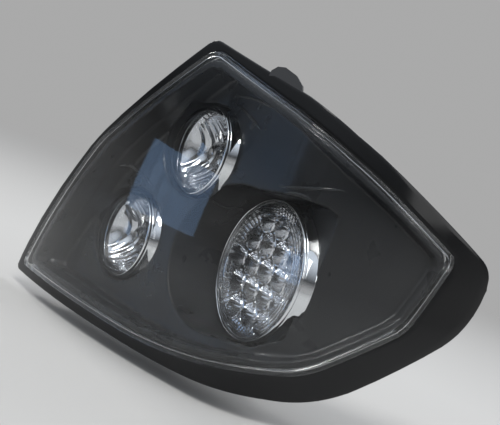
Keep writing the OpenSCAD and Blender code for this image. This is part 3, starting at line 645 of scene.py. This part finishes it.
def stopReflector():
    pod, faceR = pods["stop"], cups["faceR"]
    # a square grid pulled round so that its rim is a true circle, closed by a wall and a back
    n = int(2 * faceR / cups["grid"])
    axis = np.linspace(-faceR, faceR, n + 1)
    gx, gy = np.meshgrid(axis, axis, indexing="ij")
    m = np.maximum(np.abs(gx), np.abs(gy))
    length = np.hypot(gx, gy)
    circle = np.where(length > 1e-9, m / np.where(length > 1e-9, length, 1), 1)
    blend = (m / faceR) ** 6
    scale = (1 - blend) * circle ** 0.6 + blend * circle
    gx, gy = gx * scale, gy * scale
    size = n + 1
    points = np.stack([pod["x"] + gx, pod["y"] + cupDepth(gx, gy), pod["z"] - gy], -1).reshape(-1, 3)
    faces = [(i * size + j, i * size + j + 1, (i + 1) * size + j + 1, (i + 1) * size + j)
             for i in range(n) for j in range(n)]
    rim = [j for j in range(n)] + [i * size + n for i in range(n)]
    rim += [n * size + j for j in range(n, 0, -1)] + [i * size for i in range(n, 0, -1)]
    loops = []
    for r, z in ((faceR, cups["faceD"]), (cups["plateR"], cups["faceD"]), (cups["plateR"], cups["backD"])):
        loop = points[rim].copy()
        away = loop[:, [0, 2]] - (pod["x"], pod["z"])
        away /= np.linalg.norm(away, axis=1)[:, None]
        loop[:, 0], loop[:, 2] = pod["x"] + away[:, 0] * r, pod["z"] + away[:, 1] * r
        loop[:, 1] = pod["y"] + z
        loops.append(loop)
    base, k = len(points), len(rim)
    points = np.concatenate([points] + loops + [[(pod["x"], pod["y"] + cups["backD"], pod["z"])]])
    for a in range(k):
        b = (a + 1) % k
        faces.append((rim[a], rim[b], base + b, base + a))
        faces += [(i + a, i + b, i + k + b, i + k + a) for i in (base, base + k)]
        faces.append((base + 2 * k + a, base + 2 * k + b, base + 3 * k))
    addPiece("stopReflector", points, faces, mirrorCoat, ("stop_reflector",), 30)


stopReflector()
print("stage: reflectors made")

# Bezel: the moulded trim, its solid wrapped anew so that its walls meet in natural fillets.
# keep: share of the faces left at the end. soft: spots smoothed more, each X, Y and Z from the
# middle of the stop pod's face and a reach, in millimetres, and the number of passes.
bezelTrim = dict(voxel=0.0012, relax=3, keep=0.7, soft=((46, 5, -54, 26, 60), (56, 5, 66, 14, 30)))


def modified(piece):
    # the piece's mesh once its modifiers have run
    return bpy.data.meshes.new_from_object(piece.evaluated_get(bpy.context.evaluated_depsgraph_get()))


def addSmoothing(piece, passes, group=""):
    smooth = piece.modifiers.new("Smooth", "SMOOTH")
    smooth.factor = 0.5
    smooth.iterations = passes
    smooth.vertex_group = group
    piece.data = modified(piece)
    piece.modifiers.clear()
    piece.vertex_groups.clear()


def moulded(node, name, material, slot, voxel, relax, keep, soft):
    piece = addObject(name, mergedMesh(node, name))
    remesh = piece.modifiers.new("Remesh", "REMESH")
    remesh.mode = "VOXEL"
    remesh.voxel_size = voxel
    addSmoothing(piece, relax)
    pod = pods["stop"]
    for x, y, z, reach, passes in soft:
        centre = Vector(toRow([(pod["x"] + x, pod["y"] + y, pod["z"] + z)])[0])
        group = piece.vertex_groups.new(name="soft")
        for v in piece.data.vertices:
            share = 1 - (v.co - centre).length / (reach / 1000)
            if share > 0:
                group.add([v.index], min(1, share * 2), "REPLACE")
        addSmoothing(piece, passes, group.name)
    piece.modifiers.new("Fewer", "DECIMATE").ratio = keep
    made = modified(piece)
    bpy.data.objects.remove(piece)
    addMesh(name, made, material, (node,), 60)


moulded("bezel", "bezelTrim", satinBlack, "bezel_black", **bezelTrim)

# raised lines where the trim's steps meet: points along each in the car's frame, in millimetres
creases = dict(radius=2.0, sunk=1.4, step=1.5, sides=28, passes=6, lines=(
    ((94.5, 67.6, 103.2), (117.6, 72.9, 108.8), (142.6, 77.8, 108.7), (166, 79, 107.5)),
    ((98.7, 68.8, 101.9), (121.6, 73.0, 96.6), (139.3, 76.2, 90.3), (148.8, 78.2, 86.3)),
    ((116, 74.3, 20.7), (113.5, 91.2, 17.2), (115, 100, 19.3), (125.9, 99.2, 30.6)),
    ((178, 84.7, 53.1), (201.6, 94.1, 58.6), (215.2, 110.1, 66.1), (220.1, 125, 69.7)),
    ((189, 88, 49.1), (203.5, 95.1, 53.7), (211.9, 103.6, 52.7)),
    ((14, 31.3, 19.7), (28.5, 37.7, 16.4), (45, 44.5, 12.8), (62, 52.4, 8.9))))


def bezelCreases():
    trim = BVHTree.FromObject(bpy.data.objects["bezelTrim"], bpy.context.evaluated_depsgraph_get())
    points, faces, sides = [], [], creases["sides"]
    for line in creases["lines"]:
        line = toRow(line)
        along = np.concatenate([[0], np.cumsum(np.linalg.norm(np.diff(line, axis=0), axis=1))])
        count = max(6, int(along[-1] * 1000 / creases["step"]))
        order = min(3, len(line) - 1)
        where = np.linspace(0, along[-1], count)
        smooth = np.stack([np.polyval(np.polyfit(along, line[:, c], order), where) for c in range(3)], -1)
        nearest = [trim.find_nearest(Vector(p)) for p in smooth]
        seats, normals = (np.array([found[i] for found in nearest]) for i in (0, 1))
        for _ in range(creases["passes"]):
            for rows in (seats, normals):
                rows[1:-1] = (rows[:-2] + 2 * rows[1:-1] + rows[2:]) / 4
        across = np.cross(np.gradient(seats, axis=0), normals)
        across /= np.linalg.norm(across, axis=1)[:, None]
        normals /= np.linalg.norm(normals, axis=1)[:, None]
        first = len(points)
        for k in range(count):
            fullness = math.sin(math.pi * (k + 0.15) / (count - 0.7)) ** 0.5
            size = creases["radius"] / 1000 * (0.4 + 0.6 * fullness)
            centre = seats[k] - normals[k] * creases["sunk"] / 1000
            for a in np.linspace(0, 2 * math.pi, sides, endpoint=False):
                points.append(centre + across[k] * size * math.cos(a) + normals[k] * size * math.sin(a))
        last = first + (count - 1) * sides
        faces += [f for ring in range(first, last, sides) for f in stripFaces(ring, ring + sides, sides)]
        faces += [range(first, first + sides), range(last, last + sides)]
    mesh = cleanMesh("bezelCreases", points, faces)
    # the beads take the lighter black, a painted highlight on the creases
    addMesh("bezelCreases", mesh, creasePaintedHighlight, ("bezel",), 70)


bezelCreases()
print("stage: bezel made")

# Pieces that keep the shape of their solids, with their curves smoothed
smoothCopy("housing", "housingShell", matBlack, 20)
for node, name, material, slot in (
        ("lens_sealant", "sealantBead", rubberBlack, "sealant"),
        ("upper_bulb_holder", "upperHolder", matBlack, "holder_black"),
        ("lower_bulb_holder", "lowerHolder", matBlack, "holder_black"),
        ("upper_holder_seal", "upperSeal", sealRubber, "seal_rubber"),
        ("lower_holder_seal", "lowerSeal", sealRubber, "seal_rubber"),
        ("led_board", "ledBoard", boardGreen, "board_green"),
        ("leds", "ledChips", ledResin, "led_resin"),
        ("board_connector", "boardHeader", ivoryPlastic, "header_ivory"),
        ("board_screws", "boardScrews", zincPlate, "zinc_steel"),
        ("reflector_screws", "reflectorScrews", zincPlate, "zinc_steel"),
        ("harness_connector", "harnessSocket", matBlack, "connector_black"),
        ("connector_terminals", "socketBlades", tinnedBrass, "tinned_brass"),
        ("stud_upper", "upperStud", zincPlate, "zinc_steel"),
        ("stud_lower", "lowerStud", zincPlate, "zinc_steel"),
        ("stud_outer", "outerStud", zincPlate, "zinc_steel"),
        ("ball_stud", "ballStud", zincPlate, "zinc_steel"),
        ("body_gasket", "bodyGasket", foamGrey, "foam"),
        ("vent_caps", "ventCaps", rubberBlack, "vent_rubber")):
    smoothCopy(node, name, material)
print("stage: other pieces made")

bulb = dict(glassZ=20.5, glassR=12.5, wall=0.5, baseR=7.6, baseTop=34.5, baseEnd=49, pinZ=46, coilR=0.55,
            coilTurns=14, coilWide=7, wireR=0.16, leadR=0.28)


def joined(parts):
    points, faces, count = [], [], 0
    for p, f in parts:
        points.append(np.asarray(p, float))
        faces += [tuple(int(i) + count for i in face) for face in f]
        count += len(p)
    return np.concatenate(points), faces


def tubeAlong(path, radius, sides=8):
    path = np.asarray(path, float)
    points, faces = [], []
    ahead = np.gradient(path, axis=0)
    side = np.array([0.0, 1.0, 0.0])
    for p, t in zip(path, ahead):
        t = t / np.linalg.norm(t)
        side = side - t * side.dot(t)
        if np.linalg.norm(side) < 1e-3:
            side = np.cross(t, (1.0, 0.2, 0.1))
        side = side / np.linalg.norm(side)
        other = np.cross(t, side)
        points += [p + radius * (side * math.cos(a) + other * math.sin(a))
                   for a in np.linspace(0, 2 * math.pi, sides, endpoint=False)]
    for i in range(len(path) - 1):
        faces += stripFaces(i * sides, (i + 1) * sides, sides)
    faces += [tuple(range(sides)), tuple(range(len(path) * sides - 1, (len(path) - 1) * sides - 1, -1))]
    return np.array(points), faces


def bulbGlassPart(pod):
    # thin envelope: a ball that runs out into the neck, open to a second wall inside
    r, z, w = bulb["glassR"], bulb["glassZ"], bulb["wall"]
    outer = [(r * math.sin(a), z - r * math.cos(a)) for a in np.radians(np.linspace(0, 128, 30))]
    outer += [(8.6, 30.6), (8.0, 32.2), (7.7, bulb["baseTop"])]
    inner = [(max(x - w, 0), y) for x, y in outer[::-1] if x > w + 0.4]
    inner = [(x, y) for x, y in inner if y > z - r + w * 1.6] + [(0, z - r + w)]
    return turned(outer + inner, pod, 64)


def bulbBasePart(pod):
    r, top, end = bulb["baseR"], bulb["baseTop"], bulb["baseEnd"]
    shell = [(0, top - 0.6), (r - 0.6, top - 0.6), (r + 0.45, top - 0.4), (r + 0.6, top),
             (r + 0.6, top + 1), (r, top + 1.5), (r, end - 9), (r - 0.2, end - 8.7), (r - 0.2, end - 8.2),
             (r, end - 8), (r, end - 0.8), (r - 0.8, end), (4.6, end), (4.2, end + 1.3), (0, end + 1.5)]
    parts = [turned(shell, pod, 64)]
    for t in (math.radians(90), math.radians(270)):
        way = np.array([math.cos(t), 0, -math.sin(t)])
        seat = np.array([pod["x"], pod["y"] + bulb["pinZ"], pod["z"]])
        parts.append(tubeAlong([seat + way * (r - 0.8), seat + way * (r + 1.2)], 1.0, 20))
    return joined(parts)


def bulbWorksPart(pod):
    # stem, two support wires and a coiled filament across the ball
    c = np.array([pod["x"], pod["y"], pod["z"]])
    half, z = bulb["coilWide"] / 2, bulb["glassZ"] + 1
    lead = ((1.6, 34), (1.7, 30), (2.6, 26), (half, z + 0.2), (half, z))
    parts = [tubeAlong([c + (side * x, y, 0) for x, y in lead], bulb["leadR"]) for side in (-1, 1)]
    t = np.linspace(0, 1, bulb["coilTurns"] * 10)
    a = 2 * math.pi * bulb["coilTurns"] * t
    path = np.stack([c[0] - half + 2 * half * t, c[1] + z + bulb["coilR"] * np.cos(a),
                     c[2] + bulb["coilR"] * np.sin(a)], -1)
    parts.append(tubeAlong(path, bulb["wireR"], 6))
    return joined(parts)


def bulbStemPart(pod):
    stem = [(0, 28.5), (1.6, 28.9), (2.3, 30.2), (2.6, 32), (4.5, 34), (4.5, 34.3), (0, 34.3)]
    return turned(stem, pod, 32)


for podName in ("upper", "lower"):
    pod, node = pods[podName], podName + "_bulb"
    for part, make, material in (("Glass", bulbGlassPart, bulbGlass), ("Base", bulbBasePart, nickelBase),
                                 ("Works", bulbWorksPart, tungsten), ("Stem", bulbStemPart, bulbGlass)):
        points, faces = make(pod)
        addPiece(podName + "Bulb" + part, points, faces, material, (node,), 50)
print("stage: bulbs made")


# Pieces that repeat, laid out by Geometry Nodes
def newTree(name, **inputs):
    tree = bpy.data.node_groups.new(name, "GeometryNodeTree")
    tree.interface.new_socket("Geometry", in_out="INPUT", socket_type="NodeSocketGeometry")
    tree.interface.new_socket("Geometry", in_out="OUTPUT", socket_type="NodeSocketGeometry")
    for key, kind in inputs.items():
        tree.interface.new_socket(key, in_out="INPUT", socket_type="NodeSocket" + kind)
    return tree, tree.nodes.new("NodeGroupInput"), tree.nodes.new("NodeGroupOutput")


def finishedTree(make, name, material):
    tree, geometry, end = make(name)
    real = addNode(tree, "GeometryNodeRealizeInstances", Geometry=geometry).outputs["Geometry"]
    paint = addNode(tree, "GeometryNodeSetMaterial", Geometry=real, Material=material)
    setInputs(tree, end, Geometry=paint.outputs["Geometry"])
    return tree


def runTree(name, base, tree, values, material, replaced, place, sharpDeg=40):
    carrier = addObject(name + "Carrier", base)
    modifier = carrier.modifiers.new("nodes", "NODES")
    modifier.node_group = tree
    for item in tree.interface.items_tree:
        if item.item_type == "SOCKET" and item.in_out == "INPUT" and item.name in values:
            modifier[item.identifier] = values[item.name]
    made = modified(carrier)
    bpy.data.objects.remove(carrier)
    made.transform(place)
    made.name = name
    addMesh(name, made, material, replaced, sharpDeg)


def podPlace(pod):
    # where a pod's repeated pieces are drawn: local z runs forward from the pod's face
    seat = Vector(toRow([(pod["x"], pod["y"], pod["z"])])[0])
    return Matrix.Translation(seat) @ Matrix.Rotation(math.radians(-90), 4, "X")


def copiesTree(name):
    # one copy of the base mesh at every point of a flat list of places
    tree, start, end = newTree(name, Places="Object", Size="Float")
    info = addNode(tree, "GeometryNodeObjectInfo", Object=start.outputs["Places"])
    points = addNode(tree, "GeometryNodeMeshToPoints", Mesh=info.outputs["Geometry"])
    copies = addNode(tree, "GeometryNodeInstanceOnPoints", Points=points.outputs["Points"],
                     Instance=start.outputs["Geometry"], Scale=start.outputs["Size"])
    return tree, copies.outputs["Instances"], end


def ringTree(name):
    # copies of the base mesh round a circle, each turned to face outwards
    tree, start, end = newTree(name, Count="Int", Radius="Float")
    circle = addNode(tree, "GeometryNodeMeshCircle", Vertices=start.outputs["Count"],
                     Radius=start.outputs["Radius"])
    index = addNode(tree, "GeometryNodeInputIndex")
    step, angle = tree.nodes.new("ShaderNodeMath"), tree.nodes.new("ShaderNodeMath")
    step.operation, angle.operation = "DIVIDE", "MULTIPLY"
    step.inputs[0].default_value = 2 * math.pi
    tree.links.new(start.outputs["Count"], step.inputs[1])
    tree.links.new(index.outputs["Index"], angle.inputs[0])
    tree.links.new(step.outputs["Value"], angle.inputs[1])
    turn = addNode(tree, "ShaderNodeCombineXYZ", Z=angle.outputs["Value"])
    copies = addNode(tree, "GeometryNodeInstanceOnPoints", Points=circle.outputs["Mesh"],
                     Instance=start.outputs["Geometry"], Rotation=turn.outputs["Vector"])
    return tree, copies.outputs["Instances"], end


def threadTree(name):
    # a fine coil laid round a shaft
    tree, start, end = newTree(name, Turns="Float", Radius="Float", Length="Float", Depth="Float")
    coil = addNode(tree, "GeometryNodeCurveSpiral", Resolution=24, Rotations=start.outputs["Turns"],
                   Start_Radius=start.outputs["Radius"], End_Radius=start.outputs["Radius"],
                   Height=start.outputs["Length"])
    wire = addNode(tree, "GeometryNodeCurvePrimitiveCircle", Resolution=6, Radius=start.outputs["Depth"])
    skinned = addNode(tree, "GeometryNodeCurveToMesh", Curve=coil.outputs["Curve"],
                      Profile_Curve=wire.outputs["Curve"], Fill_Caps=True)
    return tree, skinned.outputs["Mesh"], end


def localMesh(name, points, faces):
    # a small mesh in a pod's own frame, given in millimetres
    return cleanMesh(name, np.asarray(points, float) * 0.001, faces, 1e-7)


# the domes of the light-emitting diodes
diode = dict(z=25.2, domeR=1.65, domeRise=1.5, rimZ=0.9, footZ=0.2)
dome = [(diode["domeR"] * math.sin(a), diode["z"] - diode["rimZ"] - diode["domeRise"] * math.cos(a))
        for a in np.radians(np.linspace(0, 90, 9))]
dome += [(diode["domeR"], diode["z"] - diode["footZ"]), (0, diode["z"] - diode["footZ"])]
domePoints, domeFaces = turned(dome, dict(x=0, y=0, z=0), 24)
domePoints = np.stack([domePoints[:, 0], -domePoints[:, 2], domePoints[:, 1]], -1)
placesMesh = bpy.data.meshes.new("diodePlaces")
placesMesh.from_pydata([(x / 1000, y / 1000, 0) for x, y in cupPlaces()], [], [])
diodePlaces = addObject("diodePlaces", placesMesh)
runTree("ledDomes", localMesh("ledDome", domePoints, domeFaces),
        finishedTree(copiesTree, "ledCopies", podClear), {"Places": diodePlaces, "Size": 1.0}, podClear,
        ("leds",), podPlace(pods["stop"]))
bpy.data.objects.remove(diodePlaces)

# blocks round the rim of each bulb holder, to turn it by
grip = dict(count=30, radius=21, z0=48.9, z1=50.4)
gripBlock = [(x, y, z) for z in (grip["z0"], grip["z1"]) for x, y in
             ((-0.6, -0.8), (0.25, -0.5), (0.25, 0.5), (-0.6, 0.8))]
blockFaces = [(0, 1, 2, 3), (7, 6, 5, 4), (0, 4, 5, 1), (1, 5, 6, 2), (2, 6, 7, 3), (3, 7, 4, 0)]
for podName in ("upper", "lower"):
    runTree(podName + "HolderGrip", localMesh("gripBlock", gripBlock, blockFaces),
            finishedTree(ringTree, podName + "Grip", matBlack),
            {"Count": grip["count"], "Radius": grip["radius"] / 1000}, matBlack,
            (podName + "_bulb_holder",), podPlace(pods[podName]))

# a wire sunk in each stud and just proud of it is its thread; tip: the plain end
thread = dict(turns=19.0, coilR=2.84, wireR=0.26, length=19.5, tip=0.8)
for side in ("upper", "lower", "outer"):
    node, name = "stud_" + side, side + "Thread"
    low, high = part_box(node)
    start = (low + high) / 2
    start.y = high.y - (thread["tip"] + thread["length"]) / 1000
    runTree(name, bpy.data.meshes.new(name + "Base"), finishedTree(threadTree, name + "Tree", zincPlate),
            {"Turns": thread["turns"], "Radius": thread["coilR"] / 1000, "Length": thread["length"] / 1000,
             "Depth": thread["wireR"] / 1000}, zincPlate, (node,),
            Matrix.Translation(start) @ Matrix.Rotation(math.radians(-90), 4, "X"), 60)
print("stage: repeated pieces made")

# Camera at the photograph's angle
camera = dict(azimuthDeg=57, elevationDeg=5, rollDeg=21.3, distance=1000, aim=(154.13, 89.40, 23.79),
              lens=90, sensor=36)


def addCamera():
    az, el, roll = (math.radians(camera[k]) for k in ("azimuthDeg", "elevationDeg", "rollDeg"))
    back = Vector((math.sin(az) * math.cos(el), -math.cos(az) * math.cos(el), math.sin(el)))
    level = Vector((math.cos(az), math.sin(az), 0))
    upright = back.cross(level)
    right = level * math.cos(roll) + upright * math.sin(roll)
    up = upright * math.cos(roll) - level * math.sin(roll)
    data = bpy.data.cameras.new("camera")
    data.lens = camera["lens"]
    data.sensor_width = camera["sensor"]
    seat = Vector(toRow([camera["aim"]])[0]) + back * camera["distance"] / 1000
    view = addObject("camera", data)
    view.matrix_world = Matrix.Translation(seat) @ Matrix((right, up, back)).transposed().to_4x4()
    bpy.context.scene.camera = view


addCamera()

# lengths in metres; dimAt, brightFrom: heights in the mirrored sky, 0 at eye level and 1 overhead
studio = dict(backdrop=(0.40, 0.40, 0.40, 1), ambient=0.5, evenColor=(0.94, 0.97, 1.0, 1),
              floorDrop=0.012, floorR=6.0, floorSides=96, floorColor=(0.62, 0.62, 0.62),
              fadeFrom=0.5, fadeTo=1.6, dimAt=0.2, dimColor=(0.05, 0.052, 0.056, 1), brightFrom=0.62,
              brightColor=(0.72, 0.78, 0.86, 1))
# seats are from the middle of the cluster, in metres: X outboard, Y forward, Z up
lamps = (
    dict(name="skyPanel", seat=(-0.44, -1.28, 0), size=(0.52, 0.3), power=0.8, color=(0.33, 0.58, 1.0)),
    dict(name="sunSide", seat=(0.75, -0.55, 1.25), size=(0.5, 0.5), power=10.5, color=(1.0, 0.98, 0.94)),
    dict(name="sunLeft", seat=(-1.1, -0.22, 0.75), size=(0.3, 0.3), power=4, color=(1.0, 0.98, 0.94)),
    dict(name="sideFill", seat=(1.0, 0.95, 0.6), size=(0.7, 0.7), power=2.5, color=(1.0, 1.0, 1.0)),
    dict(name="backFill", seat=(-0.5, 1.1, 0.8), size=(0.8, 0.8), power=5, color=(1.0, 1.0, 1.0)),
)


def addWorld():
    # the camera sees the pale backdrop, mirrored and transmitted rays see it too up to eye level,
    # with a dim band and a bright ceiling over it, and the rest is an even light
    world = bpy.data.worlds.new("studio")
    world.use_nodes = True
    bpy.context.scene.world = world
    tree = world.node_tree
    tree.nodes.clear()
    even = addNode(tree, "ShaderNodeBackground", Color=studio["evenColor"], Strength=studio["ambient"])
    shown = addNode(tree, "ShaderNodeBackground", Color=studio["backdrop"])
    coord = addNode(tree, "ShaderNodeTexCoord")
    parts = addNode(tree, "ShaderNodeSeparateXYZ", Vector=coord.outputs["Generated"])
    ramp = addNode(tree, "ShaderNodeValToRGB", Fac=parts.outputs["Z"])
    low, high = ramp.color_ramp.elements
    low.position, low.color = 0, studio["backdrop"]
    high.position, high.color = studio["brightFrom"], studio["brightColor"]
    ramp.color_ramp.elements.new(studio["dimAt"]).color = studio["dimColor"]
    mirrored = addNode(tree, "ShaderNodeBackground", Color=ramp.outputs["Color"])
    light = addNode(tree, "ShaderNodeLightPath")
    seen = tree.nodes.new("ShaderNodeMath")
    seen.operation = "MAXIMUM"
    tree.links.new(light.outputs["Is Glossy Ray"], seen.inputs[0])
    tree.links.new(light.outputs["Is Transmission Ray"], seen.inputs[1])
    rest = mixShaders(tree, seen.outputs["Value"], even.outputs["Background"],
                      mirrored.outputs["Background"])
    every = mixShaders(tree, light.outputs["Is Camera Ray"], rest, shown.outputs["Background"])
    addNode(tree, "ShaderNodeOutputWorld", Surface=every)


def addFloor():
    mesh = bpy.data.meshes.new("floor")
    z = cadBox[0].z - studio["floorDrop"]
    n, radius = studio["floorSides"], studio["floorR"]
    turns = [2 * math.pi * k / n for k in range(n)]
    rim = [(radius * math.cos(a), radius * math.sin(a), z) for a in turns]
    mesh.from_pydata(rim, [], [tuple(range(n))])
    floor = addObject("floor", mesh)
    mat, shader = newMaterial("floorPaper", studio["floorColor"], 0.9)
    tree = mat.node_tree
    coord = addNode(tree, "ShaderNodeTexCoord")
    far = tree.nodes.new("ShaderNodeVectorMath")
    far.operation = "LENGTH"
    tree.links.new(coord.outputs["Object"], far.inputs[0])
    fade = remap(mat, far.outputs["Value"], 0, 1, studio["fadeFrom"], studio["fadeTo"])
    glow = addNode(tree, "ShaderNodeEmission", Color=studio["backdrop"])
    showShader(mat, mixShaders(tree, fade, shader.outputs["BSDF"], glow.outputs["Emission"]))
    mesh.materials.append(mat)


def addLamp(name, seat, size, power, color):
    data = bpy.data.lights.new(name, "AREA")
    data.shape = "RECTANGLE"
    data.size, data.size_y = size
    data.energy = power
    data.color = color
    lamp = addObject(name, data)
    lamp.location = (cadBox[0] + cadBox[1]) / 2 + Vector(seat)
    lamp.rotation_mode = "QUATERNION"
    lamp.rotation_quaternion = Vector(seat).to_track_quat("Z", "Y")


addWorld()
addFloor()
for lamp in lamps:
    addLamp(**lamp)
bpy.context.scene.view_settings.view_transform = "Standard"
print("stage: studio made")
